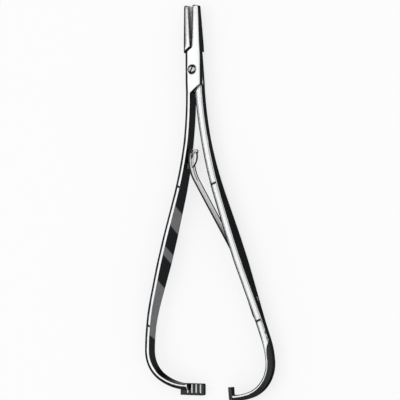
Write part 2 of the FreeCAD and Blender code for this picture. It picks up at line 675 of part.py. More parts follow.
# Screw hole: a running fit in the front plate, a thread in the back plate
bore = circle_sketch(front, "front_half_bore_circle", "screw_shank", play="screw_play")
pocket(front, "front_half_bore", bore, both=True)
seat = circle_sketch(front, "front_half_seat_circle", "screw_head", offset="half_depth", play="head_play")
pocket(front, "front_half_seat", seat, "head_seat")
thread = circle_sketch(back, "back_half_thread_circle", "screw_shank")
pocket(back, "back_half_thread", thread, both=True)
doc.recompute()

# Rack on the left tail
rack_middle = (value("rack_top_y") + value("rack_height") / 2, "dims.rack_top_y + dims.rack_height / 2")
rack = new_sketch(front, "rack_profile", "XZ_Plane", rack_middle)
corners = [("-rack_left", "-rack_base"), ("rack_right", "-rack_base")]
for tooth in range(TEETH):
    near = (value("rack_right") - tooth * value("tooth_pitch"), f"dims.rack_right - {tooth} * dims.tooth_pitch")
    far = value("rack_right") - (tooth + 1) * value("tooth_pitch") + value("tooth_drop")
    crest = (far, f"dims.rack_right - {tooth + 1} * dims.tooth_pitch + dims.tooth_drop")
    corners.append((near, "-tooth_root"))
    corners.append((crest, "-tooth_crest"))
last = value("rack_right") - TEETH * value("tooth_pitch")
corners.append(((last, f"dims.rack_right - {TEETH} * dims.tooth_pitch"), "-tooth_root"))
corners.append(("-rack_left", "-tooth_root"))
outline(rack, corners)
pad(front, "rack_block", rack, "rack_height", both=True)
doc.recompute()
rack_low = value("rack_top_y") + value("rack_height")
rack_side = value("half_depth") - (value("rack_base") + value("tooth_root")) / 2
rack_ends = [(value("rack_right"), -y, rack_side) for y in (value("rack_top_y"), rack_low)]
round_edges(front, "rack_round", rack_ends, "rack_corner", upright=True)

# Turned-up catch on the right tail
catch = new_sketch(back, "catch_outline", offset="-catch_back")
right = (value("catch_left") + value("catch_thick"), "dims.catch_left + dims.catch_thick")
rounded(
    catch,
    (
        ("catch_left", "-catch_top_y", None),
        ("catch_left", "-catch_low_y", "catch_corner"),
        (right, "-catch_low_y", None),
        (right, "-catch_top_y", None),
    ),
)
height = (value("catch_back") + value("catch_front"), "dims.catch_back + dims.catch_front")
pad(back, "catch_block", catch, height)
doc.recompute()
catch_middle = ((value("catch_top_y") + value("catch_low_y")) / 2, "(dims.catch_top_y + dims.catch_low_y) / 2")
ridges = new_sketch(back, "catch_ridge_profile", "XZ_Plane", catch_middle)
ridge_length = (value("catch_low_y") - value("catch_top_y") + 1.0, "dims.catch_low_y - dims.catch_top_y + 1")
ridge_floor = (value("catch_front") - value("ridge_depth"), "dims.catch_front - dims.ridge_depth")
outline(
    ridges,
    (
        ("catch_left", "catch_front"),
        ("catch_left", ridge_floor),
        ((value("catch_left") + value("ridge_pitch"), "dims.catch_left + dims.ridge_pitch"), "catch_front"),
    ),
)
ridge = pocket(back, "catch_ridge", ridges, ridge_length, both=True)
doc.recompute()
row(back, "catch_ridges", ridge, "X_Axis", "ridge_pitch", 2)
doc.recompute()

for body, label, side in ((front, "front_half", -1), (back, "back_half", 1)):
    serration(body, label, side)

# Holes for the spring's rivet and for the hook's shank
cross_hole(back, "back_half_rivet_hole", "rivet_x", "rivet_y", value("bow_turn"), "rivet_shank")
cross_hole(front, "front_half_hook_hole", "hook_x", "hook_y", value("hook_slope"), "hook_shank")
doc.recompute()

# Pivot screw
screw = new_body("pivot_screw")
turned = new_sketch(screw, "screw_profile", "XZ_Plane")
head_low = (2 * value("half_depth") - value("head_seat"), "2 * dims.half_depth - dims.head_seat")
head_top = (2 * value("half_depth"), "2 * dims.half_depth")
crown = (2 * value("half_depth") + value("head_rise"), "2 * dims.half_depth + dims.head_rise")
shank = (value("screw_shank") / 2, "dims.screw_shank / 2")
head = (value("screw_head") / 2, "dims.screw_head / 2")
crown_edge = (value("crown_flat"), "dims.crown_flat")
crown_run = value("screw_head") / 2 - value("crown_flat")
dome = (
    1.02 * (crown_run ** 2 + value("head_rise") ** 2) / (2 * value("head_rise")),
    "1.02 * ((dims.screw_head / 2 - dims.crown_flat) ^ 2 + dims.head_rise ^ 2) / (2 * dims.head_rise)",
)
outline(
    turned,
    (
        ("0", "0"),
        (shank, "0"),
        (shank, head_low),
        (head, head_low),
        (head, head_top, (dome, 1)),
        (crown_edge, crown),
        ("0", crown),
    ),
)
turning = screw.newObject("PartDesign::Revolution", "screw_turned")
turning.Profile = turned
turning.ReferenceAxis = (base_part(screw, "Z_Axis"), [""])
turning.Angle = 360
slot = new_sketch(screw, "screw_slot_outline", offset=crown)
slot.AttachmentOffset = Placement(Vector(0, 0, crown[0]), Rotation(Vector(0, 0, 1), value("slot_angle")))
slot.setExpression(".AttachmentOffset.Rotation.Angle", "dims.slot_angle")
half_slot = (value("slot_width") / 2, "dims.slot_width / 2")
outline(
    slot,
    (
        ("-screw_head", flip(half_slot, -1)),
        ("screw_head", flip(half_slot, -1)),
        ("screw_head", half_slot),
        ("-screw_head", half_slot),
    ),
)
pocket(screw, "screw_slot", slot, "slot_depth")
doc.recompute()

# Leaf spring: a strip on the right handle, slotted above and rolled into an eye
spring = new_body("leaf_spring")
spring.Placement = Placement(Vector(0, 0, value("half_depth")), Rotation(Vector(0, 0, 1), value("open_angle")))
spring.setExpression(".Placement.Base.z", "dims.half_depth")
spring.setExpression(".Placement.Rotation.Angle", "dims.open_angle")
strip = new_sketch(spring, "spring_strip_outline")
contact = (value("spring_root") - value("spring_leave"), "dims.spring_root - dims.spring_leave")
steps = (
    ("line", contact),
    ("arc", "spring_bend", "spring_bend_turn", 1),
    ("line", "spring_run"),
    ("arc", "spring_top", "spring_top_turn", -1),
)
right_face, left_face = band(strip, 1, ("root_x", "root_y"), 90.0 + value("bow_turn"), "spring_thick", 1, steps)
lower_right, lower_left = right_face[0][0], left_face[0][0]
constrain(strip, "dims.leave_x", "DistanceX", -1, 1, lower_right, 2, value("leave_x"))
foot_ends = [tuple(strip.getPoint(edge, 1))[:2] for edge in (lower_right, lower_left)]
foot = line(strip, *foot_ends)[0]
strip.addConstraint(Sketcher.Constraint("Coincident", foot, 1, lower_right, 1))
strip.addConstraint(Sketcher.Constraint("Coincident", foot, 2, lower_left, 1))
strip.addConstraint(Sketcher.Constraint("Perpendicular", foot, lower_right))
pad(spring, "spring_strip", strip, "spring_width", both=True)
doc.recompute()

eye = new_sketch(spring, "spring_eye_outline")
inside = (value("eye_radius") - value("spring_thick"), "dims.eye_radius - dims.spring_thick")
for radius in ("eye_radius", inside):
    ring = eye.addGeometry(Part.Circle(Vector(value("eye_x"), value("eye_y"), 0), Vector(0, 0, 1), value(radius)))
    pin(eye, ring, 3, "eye_x", "eye_y")
    constrain(eye, rule(radius), "Radius", ring, value(radius))
pad(spring, "spring_eye", eye, "spring_width", both=True)
doc.recompute()

window = new_sketch(spring, "spring_window_outline", "YZ_Plane")
half_window = (value("window_width") / 2, "dims.window_width / 2")
window_end = (value("window_width") * 0.51, "dims.window_width * 0.51")
outline(
    window,
    (
        ("-window_low_y", half_window, (window_end, 1)),
        ("-window_low_y", flip(half_window, -1)),
        ("-window_top_y", flip(half_window, -1), (window_end, 1)),
        ("-window_top_y", half_window),
    ),
)
pocket(spring, "spring_window", window, both=True)
cross_hole(spring, "spring_rivet_hole", "rivet_x", "rivet_y", value("bow_turn"), "rivet_shank")
doc.recompute()

# Rivet of the spring, drawn with its axis along X
rivet = new_body("spring_rivet")
cos_open, sin_open = math.cos(math.radians(value("open_angle"))), math.sin(math.radians(value("open_angle")))
rivet.Placement = Placement(
    Vector(
        value("rivet_x") * cos_open - value("rivet_y") * sin_open,
        value("rivet_x") * sin_open + value("rivet_y") * cos_open,
        value("half_depth"),
    ),
    Rotation(Vector(0, 0, 1), value("open_angle") + value("bow_turn")),
)
rivet.setExpression(
    ".Placement.Base.x", "dims.rivet_x * cos(dims.open_angle) - dims.rivet_y * sin(dims.open_angle)"
)
rivet.setExpression(
    ".Placement.Base.y", "dims.rivet_x * sin(dims.open_angle) + dims.rivet_y * cos(dims.open_angle)"
)
rivet.setExpression(".Placement.Base.z", "dims.half_depth")
rivet.setExpression(".Placement.Rotation.Angle", "dims.open_angle + dims.bow_turn")
pin_profile = new_sketch(rivet, "rivet_profile")
rivet_top = (-value("spring_thick") - value("rivet_rise"), "-dims.spring_thick - dims.rivet_rise")
rivet_side = (value("rivet_head") / 2, "dims.rivet_head / 2")
rivet_shank = (value("rivet_shank") / 2, "dims.rivet_shank / 2")
rivet_run = value("rivet_head") / 2 - value("crown_flat")
rivet_dome = (
    1.02 * (rivet_run ** 2 + value("rivet_rise") ** 2) / (2 * value("rivet_rise")),
    "1.02 * ((dims.rivet_head / 2 - dims.crown_flat) ^ 2 + dims.rivet_rise ^ 2) / (2 * dims.rivet_rise)",
)
outline(
    pin_profile,
    (
        (rivet_top, "0"),
        ("arm_thick", "0"),
        ("arm_thick", rivet_shank),
        ("-spring_thick", rivet_shank),
        ("-spring_thick", rivet_side, (rivet_dome, 1)),
        (rivet_top, "crown_flat"),
    ),
)
rivet_turned = rivet.newObject("PartDesign::Revolution", "rivet_turned")
rivet_turned.Profile = pin_profile
rivet_turned.ReferenceAxis = (base_part(rivet, "X_Axis"), [""])
rivet_turned.Angle = 360
doc.recompute()

# Hook, drawn around the centre of the spring's eye
hook = new_body("spring_hook")
hook.Placement = Placement(Vector(value("hold_x"), value("hold_y"), value("half_depth")), Rotation())
hook.setExpression(".Placement.Base.x", "dims.hold_x")
hook.setExpression(".Placement.Base.y", "dims.hold_y")
hook.setExpression(".Placement.Base.z", "dims.half_depth")
claw = new_sketch(hook, "hook_outline")
grip = value("eye_radius") + value("hook_clear")
grip_radius = (grip, "dims.eye_radius + dims.hook_clear")


def on_eye(angle):
    """A point on the circle that the hook's inner face follows."""
    c, s = math.cos(math.radians(angle)), math.sin(math.radians(angle))
    return (
        (grip * c, f"(dims.eye_radius + dims.hook_clear) * cos({angle})"),
        (grip * s, f"(dims.eye_radius + dims.hook_clear) * sin({angle})"),
    )


tip = on_eye(-14)
throat = on_eye(-78)
outline(
    claw,
    (
        (*tip, (grip_radius, -1)),
        (*throat, ("hook_inner", -1)),
        ("hook_upper_x", "hook_upper_y"),
        ("hook_lower_x", "hook_lower_y"),
        ("-hook_heel_x", "-hook_heel_y", ("hook_outer", 1)),
        ("hook_crest_x", "-hook_crest_y"),
    ),
)
pad(hook, "hook_plate", claw, "hook_thick", both=True)
peg = hook.newObject("PartDesign::AdditiveCylinder", "hook_peg")
peg.Radius = value("hook_shank") / 2
peg.setExpression("Radius", "dims.hook_shank / 2")
peg.Height = value("arm_thick") + 0.4
peg.setExpression("Height", "dims.arm_thick + 0.4")
peg.AttachmentSupport = [(base_part(hook, "XY_Plane"), "")]
peg.MapMode = "FlatFace"
peg_turn = Rotation(Vector(0, 0, 1), 180 + value("hook_slope")).multiply(Rotation(Vector(0, 1, 0), 90))
inward = peg_turn.multVec(Vector(0, 0, -0.5))
peg.AttachmentOffset = Placement(Vector(-value("hook_seat_x"), -value("hook_seat_y"), 0) + inward, peg_turn)
peg.setExpression(".AttachmentOffset.Base.x", f"-dims.hook_seat_x + {inward.x:.4f}")
peg.setExpression(".AttachmentOffset.Base.y", f"-dims.hook_seat_y + {inward.y:.4f}")
doc.recompute()

# Check and write the parts
NODES = (front, back, screw, spring, rivet, hook)
doc.recompute()
for item in doc.Objects:
    if {"Invalid", "Error"} & set(item.State):
        raise RuntimeError(f"{item.Label}: {item.State}")
os.makedirs("parts", exist_ok=True)
for node in NODES:
    shape = node.Shape
    if shape.isNull() or not shape.isValid():
        raise RuntimeError(f"{node.Label}: no valid shape")
    shape.exportStep(f"parts/{node.Label}.step")
    print(node.Label, len(shape.Solids), "solid,", round(shape.Volume, 2), "mm3")
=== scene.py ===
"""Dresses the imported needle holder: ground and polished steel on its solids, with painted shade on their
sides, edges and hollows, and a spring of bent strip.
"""

import math

import bmesh
import bpy
import numpy as np
from bpy.props import FloatProperty, FloatVectorProperty, PointerProperty
from mathutils import Matrix, Vector


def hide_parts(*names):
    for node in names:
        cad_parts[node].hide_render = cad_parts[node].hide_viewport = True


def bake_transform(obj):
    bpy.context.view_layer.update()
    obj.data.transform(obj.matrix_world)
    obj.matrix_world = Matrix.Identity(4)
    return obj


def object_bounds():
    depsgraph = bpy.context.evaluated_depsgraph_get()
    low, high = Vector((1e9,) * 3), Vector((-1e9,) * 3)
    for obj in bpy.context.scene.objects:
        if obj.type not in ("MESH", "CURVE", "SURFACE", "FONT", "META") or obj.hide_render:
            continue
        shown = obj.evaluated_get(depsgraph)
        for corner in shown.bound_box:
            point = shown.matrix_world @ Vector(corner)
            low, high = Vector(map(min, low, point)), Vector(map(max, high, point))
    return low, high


bl_info = {
    "name": "Spring-handled needle holder",
    "version": (1, 0, 0),
    "blender": (4, 5, 0),
    "location": "3D View > Sidebar > Needle holder",
    "description": "Finishes the steel of a needle holder and bends its leaf spring",
    "category": "Object",
}

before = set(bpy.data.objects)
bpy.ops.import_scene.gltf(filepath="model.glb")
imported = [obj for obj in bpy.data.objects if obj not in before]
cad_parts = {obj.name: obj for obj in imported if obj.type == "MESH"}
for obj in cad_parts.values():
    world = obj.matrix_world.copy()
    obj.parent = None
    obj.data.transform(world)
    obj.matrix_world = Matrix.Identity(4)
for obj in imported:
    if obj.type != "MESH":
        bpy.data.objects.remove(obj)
CAD_BOX = [list(corner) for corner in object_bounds()]

MM = 0.001
OPEN_ANGLE = math.radians(4.5)
HANDLE_SLOPE = math.radians(15.4)
BOW_RADIUS = 205.0 * MM
ARM_INSET = 1.1 * MM
ARM_TOP = 12.0 * MM
MIDDLE_Z = 3.3 * MM

# Places along the tool, by Y, that the materials follow
JAW_START = (11.0 * MM, 12.0 * MM)
HANDLE_SPAN = (-139.0 * MM, -9.0 * MM)
GREY_LINE_SPAN = (-128.0 * MM, -8.0 * MM)
MOTTLED_SPAN = (-149.0 * MM, -130.0 * MM)
LOWER_BOW = (-142.0 * MM, -130.0 * MM)
TAILS = (-151.0 * MM, -150.0 * MM)

# Rack and catch: Z of the toothed part and of its crests, Y of the crests, X of the catch and Z of its
# ridges, which bound the painted shade on the flanks and on the catch
RACK_Z = (1.0 * MM, 3.1 * MM)
CREST_Z = (2.55 * MM, 2.75 * MM)
CREST_SPAN = (-164.1 * MM, -159.9 * MM)
CATCH_RIGHT = (9.75 * MM, 9.85 * MM)
RIDGE_Z = (6.25 * MM, 6.35 * MM)

# Rings of painted shade on the plate and the screw's head, by their radius, and Z below which the head's slot
# is painted dark as shade
PLATE_RING = (1.95 * MM, 2.3 * MM)
HEAD_RING = (1.93 * MM, 2.3 * MM)
SLOT_Z = (6.5 * MM, 6.58 * MM)

# Serrated face of the left jaw before it is opened
SERRATED_FACE = (-0.5 * MM, 0.2 * MM)

# Slanted places of painted sheen on the inner side of the left handle: their ends along the handle, and their
# slant
SHEEN_PATCHES = ((-0.0824, -0.0733), (-0.0974, -0.0940), (-0.1374, -0.1112))
SHEEN_LEAN = 0.47

# Places of the marks on the right handle before it is opened, and their slant
MARKS = ((0.00798, -0.05924), (0.02737, -0.12964))
MARK_SLANT = math.radians(25.0)
MARK_HALF = 0.5 * MM

# Leaf spring: how far its end lies down the straight part of the handle, and its foot, bend, leg, bow and eye
ROOT_REACH = 64.0 * MM
FOOT_LENGTH = 29.0 * MM
BEND_RADIUS, BEND_TURN = 45.0 * MM, math.radians(11.1)
LEG_LENGTH = 39.9 * MM
ARCH_RADIUS, ARCH_TURN = 21.0 * MM, math.radians(42.5)
EYE_TURN = math.radians(318.0)

# Leaf spring: steps along its foot, bend, leg, bow and eye, and the ends of its slot
STEPS = (60, 16, 240, 120, 40)
SLOTTED_STEPS = sum(STEPS[:3]) + 110
COLUMNS = 7
FOOT_CORNER = 1.6 * MM
SLOT_ENDS = (-56.0 * MM, -42.4 * MM)
EDGE_WIDTH = 0.12 * MM
SHARP_ANGLE = math.radians(35.0)

# Softboxes: left and right ends, length, Y and Z, and where the bright wall begins, by X of the direction
SOFTBOXES = (("left_softbox", -0.60, -0.25), ("right_softbox", -0.14, 0.30))
SOFTBOX_LENGTH = 0.95
SOFTBOX_PLACE = (-0.075, 0.7)
WALL_EDGE = (0.36, 0.48)

# Picture: its width in pixels, the size of one on the tool, and the place of the pivot in it
PICTURE_WIDTH = 400
PIXEL = 0.5075 * MM
PIVOT_PLACE = (197.892, 69.479)


# Sizes and colours that a user may change
class SteelSettings(bpy.types.PropertyGroup):
    face_tone: FloatVectorProperty(
        name="Face tone",
        description="Reflected colour of the ground front and back faces",
        subtype="COLOR",
        size=3,
        min=0.0,
        max=1.0,
        default=(0.75, 0.755, 0.76),
    )
    # The side tone is painted shade: it darkens the walls of the steel in their colour, and the strip's front
    # and back edges.
    side_shade_tone: FloatVectorProperty(
        name="Side tone",
        description="Reflected colour of the dark-polished sides",
        subtype="COLOR",
        size=3,
        min=0.0,
        max=1.0,
        default=(0.03, 0.031, 0.033),
    )
    # This tone is the colour of the painted sheen on the inner side of the left handle.
    side_patch_tone: FloatVectorProperty(
        name="Rub tone",
        description="Reflected colour of the places on the sides where the polish is rubbed matt",
        subtype="COLOR",
        size=3,
        min=0.0,
        max=1.0,
        default=(0.2, 0.203, 0.21),
    )
    serration_tone: FloatVectorProperty(
        name="Serration tone",
        description="Reflected colour of the serrated face of the jaw",
        subtype="COLOR",
        size=3,
        min=0.0,
        max=1.0,
        default=(0.5, 0.503, 0.51),
    )
    face_roughness: FloatProperty(
        name="Face roughness",
        description="Roughness of the fine-ground faces",
        subtype="FACTOR",
        min=0.05,
        max=0.9,
        default=0.2,
    )
    spring_tone: FloatVectorProperty(
        name="Spring tone",
        description="Reflected colour of the tempered and polished strip",
        subtype="COLOR",
        size=3,
        min=0.0,
        max=1.0,
        default=(0.93, 0.932, 0.935),
    )
    spring_roughness: FloatProperty(
        name="Spring roughness",
        description="Roughness of the polished strip",
        subtype="FACTOR",
        min=0.05,
        max=0.9,
        default=0.42,
    )
    fastener_tone: FloatVectorProperty(
        name="Fastener tone",
        description="Reflected colour of the screw, the rivet and the hook",
        subtype="COLOR",
        size=3,
        min=0.0,
        max=1.0,
        default=(0.6, 0.6, 0.6),
    )
    grain_width: FloatProperty(
        name="Grain width",
        description="Width of one streak of the grinding",
        subtype="DISTANCE",
        unit="LENGTH",
        min=0.00002,
        max=0.002,
        precision=5,
        default=0.00016,
    )
    edge_softness: FloatProperty(
        name="Edge softness",
        description="Radius over which a sharp edge is broken by the polishing",
        subtype="DISTANCE",
        unit="LENGTH",
        min=0.0,
        max=0.001,
        precision=5,
        default=0.00065,
    )


class SpringSettings(bpy.types.PropertyGroup):
    thickness: FloatProperty(
        name="Thickness",
        description="Thickness of the strip",
        subtype="DISTANCE",
        unit="LENGTH",
        min=0.0003,
        max=0.0015,
        precision=5,
        default=0.00065,
    )
    width: FloatProperty(
        name="Width",
        description="Width of the strip",
        subtype="DISTANCE",
        unit="LENGTH",
        min=0.003,
        max=0.0064,
        precision=5,
        default=0.006,
    )
    slot_width: FloatProperty(
        name="Slot width",
        description="Width of the slot that lets the hook through",
        subtype="DISTANCE",
        unit="LENGTH",
        min=0.0016,
        max=0.003,
        precision=5,
        default=0.0019,
    )
    eye_radius: FloatProperty(
        name="Eye radius",
        description="Outer radius of the rolled eye",
        subtype="DISTANCE",
        unit="LENGTH",
        min=0.0008,
        max=0.0013,
        precision=5,
        default=0.00115,
    )


class StageSettings(bpy.types.PropertyGroup):
    floor_colour: FloatVectorProperty(
        name="Floor colour",
        description="Colour of the table",
        subtype="COLOR",
        size=3,
        min=0.0,
        max=1.0,
        default=(0.92, 0.92, 0.92),
    )
    glow_share: FloatProperty(
        name="Glow share",
        description="Share of plain white in the table as the camera and reflections see it",
        subtype="FACTOR",
        min=0.0,
        max=1.0,
        default=0.7,
    )
    lamp_level: FloatProperty(
        name="Lamp level",
        description="Brightness of the softboxes, where 1 is white",
        min=0.0,
        max=3.0,
        default=0.78,
    )
    room_level: FloatProperty(
        name="Room level",
        description="Brightness of the room around, where 1 is white",
        min=0.0,
        max=1.0,
        default=0.65,
    )
    wall_level: FloatProperty(
        name="Wall level",
        description="Brightness of the bright wall on the right, where 1 is white",
        min=0.0,
        max=1.5,
        default=1.2,
    )
    lens: FloatProperty(
        name="Lens",
        description="Focal length of the camera",
        unit="CAMERA",
        min=80.0,
        max=400.0,
        default=200.0,
    )
    side_turn: FloatProperty(
        name="Side turn",
        description="How far the camera stands to the right of the tool's front",
        subtype="ANGLE",
        unit="ROTATION",
        default=math.radians(29.72),
    )
    tilt: FloatProperty(
        name="Tilt",
        description="How far the camera stands towards the tips",
        subtype="ANGLE",
        unit="ROTATION",
        default=math.radians(-1.44),
    )
    roll: FloatProperty(
        name="Roll",
        description="Turn of the camera about its line of sight",
        subtype="ANGLE",
        unit="ROTATION",
        default=math.radians(-0.24),
    )


# Shader nodes
def add(tree, kind, settings=None, **inputs):
    """A node with its settings and inputs. An input is a number or a socket of another node, and its name is
    n and a number where inputs share a name."""
    item = tree.nodes.new(kind)
    for key, setting in (settings or {}).items():
        setattr(item, key, setting)
    for key, source in inputs.items():
        numbered = key[0] == "n" and key[1:].isdigit()
        socket = item.inputs[int(key[1:]) if numbered else key.replace("_", " ")]
        if isinstance(source, bpy.types.NodeSocket):
            tree.links.new(source, socket)
        else:
            socket.default_value = source
    return item


def new_material(name):
    material = bpy.data.materials.new(name)
    material.use_nodes = True
    tree = material.node_tree
    tree.nodes.clear()
    output = tree.nodes.new("ShaderNodeOutputMaterial")
    return material, tree, output


def noise(tree, place, size, detail, roughness):
    return add(
        tree, "ShaderNodeTexNoise", Vector=place, Scale=1.0 / size, Detail=detail, Roughness=roughness
    ).outputs["Fac"]


def streaks(tree, width, detail, turn):
    """Noise drawn out along Y of the object, turned about Z: the streaks that a grinding belt leaves."""
    place = add(tree, "ShaderNodeTexCoord").outputs["Object"]
    drawn = add(
        tree, "ShaderNodeMapping", Vector=place, Rotation=(0.0, 0.0, turn), Scale=(1.0, 0.03, 1.0)
    ).outputs["Vector"]
    return noise(tree, drawn, width, detail, 0.6)


def clouds(tree, size):
    """Even noise: the slight unevenness that hand polishing leaves."""
    return noise(tree, add(tree, "ShaderNodeTexCoord").outputs["Object"], size, 2.0, 0.5)


def spread(tree, source, low, high, start=0.25, end=0.75):
    """The source's range from start to end laid on low to high."""
    item = add(
        tree,
        "ShaderNodeMapRange",
        {"clamp": True},
        Value=source,
        From_Min=start,
        From_Max=end,
        To_Min=low,
        To_Max=high,
    )
    return item.outputs["Result"]


def rise(tree, source, start, end):
    """0 up to the start, 1 from the end on."""
    return spread(tree, source, 0.0, 1.0, start, end)


def fall(tree, source, start, end):
    """1 up to the start, 0 from the end on."""
    return spread(tree, source, 1.0, 0.0, start, end)


def calc(tree, operation, *terms):
    """Result of one sum on numbers or sockets."""
    inputs = {f"n{i}": term for i, term in enumerate(terms)}
    return add(tree, "ShaderNodeMath", {"operation": operation}, **inputs).outputs["Value"]


def product(tree, first, *others):
    for other in others:
        first = calc(tree, "MULTIPLY", first, other)
    return first


def largest(tree, first, *others):
    for other in others:
        first = calc(tree, "MAXIMUM", first, other)
    return first


def window(tree, source, low, high, soft):
    """1 where the source lies from low to high, falling to 0 over the soft length beyond each of them."""
    return product(tree, rise(tree, source, low - soft, low), fall(tree, source, high, high + soft))


def tint(tree, share, low, high):
    """A colour that goes from low to high with the share. Each is a colour or a socket."""
    ends = [end if isinstance(end, bpy.types.NodeSocket) else (*end, 1.0) for end in (low, high)]
    return add(tree, "ShaderNodeMix", {"data_type": "RGBA"}, n0=share, n6=ends[0], n7=ends[1]).outputs[2]


def split(tree, vector):
    return add(tree, "ShaderNodeSeparateXYZ", Vector=vector).outputs


def own_axes(tree, turn=0.0):
    """X, Y and Z of the object, turned back about Z to the axes in which a half was drawn."""
    place = add(tree, "ShaderNodeTexCoord").outputs["Object"]
    if turn:
        place = add(tree, "ShaderNodeMapping", Vector=place, Rotation=(0.0, 0.0, -turn)).outputs["Vector"]
    return split(tree, place)


def lit_face_share(tree, normal, lean, turned):
    """1 on the front and back faces, which keep the face tone, and 0 on the walls, which take the painted
    shade of the side tone, by |z| - lean |x| of the normal, less 1.6 (|y| - 0.08) where the surface turns to
    an end of the tool. Where turned is 1, a front rounding that looks to the right stays with the face as
    painted light, by |z| + 0.85 x."""
    x, y, z = split(tree, normal)
    across = calc(tree, "ABSOLUTE", x)
    kept = product(tree, spread(tree, z, 0.0, lean + 0.85, 0.02, 0.2), turned)
    total = calc(tree, "MULTIPLY_ADD", largest(tree, x, 0.0), kept, calc(tree, "ABSOLUTE", z))
    total = calc(tree, "MULTIPLY_ADD", across, -lean, total)
    ends = largest(tree, calc(tree, "SUBTRACT", calc(tree, "ABSOLUTE", y), 0.08), 0.0)
    total = calc(tree, "MULTIPLY_ADD", ends, spread(tree, across, -1.6, 0.0, 0.15, 0.4), total)
    return rise(tree, total, 0.86, 0.93)


def outline_share(tree, radius):
    """1 in a narrow line of painted shade along the front edges that look to the left, by x of the normal, or
    to the tips, by y - 0.6 |x|."""
    x, y, z = split(tree, add(tree, "ShaderNodeBevel", {"samples": 8}, Radius=radius).outputs["Normal"])
    ahead = calc(tree, "MULTIPLY_ADD", calc(tree, "ABSOLUTE", x), -0.6, y)
    line = largest(tree, fall(tree, x, -0.12, -0.05), rise(tree, ahead, 0.14, 0.22))
    return product(tree, line, rise(tree, z, 0.1, 0.2))


def steel(
    name, tones, roughness, grain_width, softness, turn=0.0, lean=0.3, turned=0.0, side_patches=None, painted_shading=None
):
    """Metal with a face tone where the surface looks to the front or back, and a side tone elsewhere, which
    is painted shade on the walls, with the specular tint dimmed there too. The side patches give the share of
    a third tone on the sides, and the painted shading the share of a fourth over all, which is painted shade
    along edges and in hollows. The tones are uneven by a slow cloud and by the streaks of the grinding, the
    roughness follows the streaks, and the edges are broken over the soft width. A number or a function says
    how far the right rounding stays with the face, as painted light."""
    material, tree, output = new_material(name)
    face_tone, side_shade_tone, side_patch_tone, shading_tone = tones
    grain = streaks(tree, grain_width, 3.0, turn)
    broad = streaks(tree, 3.0 * grain_width, 5.0, turn)
    cloud = clouds(tree, 0.014)
    soft = add(tree, "ShaderNodeBevel", {"samples": 8}, Radius=softness).outputs["Normal"]
    side = tint(tree, side_patches(tree, soft, broad), side_shade_tone, side_patch_tone) if side_patches else side_shade_tone
    # The walls take the side tone as painted shade, and a right rounding kept with the face is painted light.
    lit_face = lit_face_share(tree, soft, lean, turned(tree) if callable(turned) else turned)
    colour = tint(tree, lit_face, side, face_tone)
    # The fourth tone is painted shade along edges, in hollows and on the rack's flanks.
    if painted_shading:
        colour = tint(tree, painted_shading(tree, soft, broad), colour, shading_tone)
    shade = product(tree, spread(tree, cloud, 0.95, 1.04), spread(tree, broad, 0.94, 1.05, 0.3, 0.7))
    scaled = add(tree, "ShaderNodeVectorMath", {"operation": "SCALE"}, n0=colour, Scale=shade)
    wave = add(tree, "ShaderNodeBump", Strength=0.5, Distance=0.08 * MM, Height=cloud, Normal=soft)
    wavy = wave.outputs["Normal"]
    fine = add(tree, "ShaderNodeBump", Strength=0.25, Distance=0.1 * grain_width, Height=grain, Normal=wavy)
    # The specular tint is dimmed on the walls, painted shade like the side tone.
    surface = add(
        tree,
        "ShaderNodeBsdfPrincipled",
        Base_Color=scaled.outputs["Vector"],
        Roughness=spread(tree, grain, roughness - 0.04, roughness + 0.08),
        Metallic=1.0,
        Specular_Tint=tint(tree, lit_face, (0.35, 0.35, 0.35), (1.0, 1.0, 1.0)),
        Normal=fine.outputs["Normal"],
    )
    tree.links.new(surface.outputs["BSDF"], output.inputs["Surface"])
    return material


def ring(tree, axes, low, high):
    """1 where the distance from the pivot axis lies from low to high."""
    square = calc(tree, "MULTIPLY_ADD", axes["X"], axes["X"], product(tree, axes["Y"], axes["Y"]))
    return window(tree, calc(tree, "SQRT", square), low, high, 0.08 * MM)


def mark(tree, axes, normal, x, y, slant):
    """1 on the faces along the slanted line through a place on the handle, where
    |cos(slant) (Y - y) - sin(slant) (X - x)| is small."""
    shift = math.sin(slant) * x - math.cos(slant) * y
    from_line = calc(tree, "MULTIPLY_ADD", axes["X"], -math.sin(slant), shift)
    from_line = calc(tree, "MULTIPLY_ADD", axes["Y"], math.cos(slant), from_line)
    on_face = rise(tree, calc(tree, "ABSOLUTE", split(tree, normal)["Z"]), 0.3, 0.5)
    return product(tree, on_face, window(tree, from_line, -MARK_HALF, MARK_HALF, 0.1 * MM))


def uneven(tree, broad):
    """A share that the streaks make stronger or weaker."""
    return spread(tree, broad, 0.6, 1.3, 0.3, 0.7)


def left_painted_sheen(tree, soft, broad):
    """Slanted places of painted sheen on the inner side of the left handle."""
    axes = own_axes(tree)
    slanted = calc(tree, "MULTIPLY_ADD", axes["Z"], -SHEEN_LEAN, axes["Y"])
    total = 0.0
    for low, high in SHEEN_PATCHES:
        total = calc(tree, "ADD", total, window(tree, slanted, low, high, 0.8 * MM))
    inward = rise(tree, split(tree, soft)["X"], -0.1, 0.1)
    return product(tree, total, inward, uneven(tree, broad))


def left_painted_shading(tree, soft, broad):
    """Painted shade: dark lines along the edges, in the marks and round the screw, and dark flanks on the
    rack's teeth, which leave the crests light.
    """
    axes = own_axes(tree)
    marks = [mark(tree, axes, soft, -x, y, -MARK_SLANT) for x, y in MARKS]
    rack = product(tree, window(tree, axes["Z"], *RACK_Z, 0.02 * MM), fall(tree, axes["Y"], *TAILS))
    crest = rise(tree, axes["Z"], *CREST_Z)
    crest = product(tree, crest, window(tree, axes["Y"], *CREST_SPAN, 0.15 * MM))
    flanks = product(tree, rack, calc(tree, "SUBTRACT", 1.0, crest))
    return largest(tree, outline_share(tree, 1.5 * MM), ring(tree, axes, *PLATE_RING), flanks, *marks)


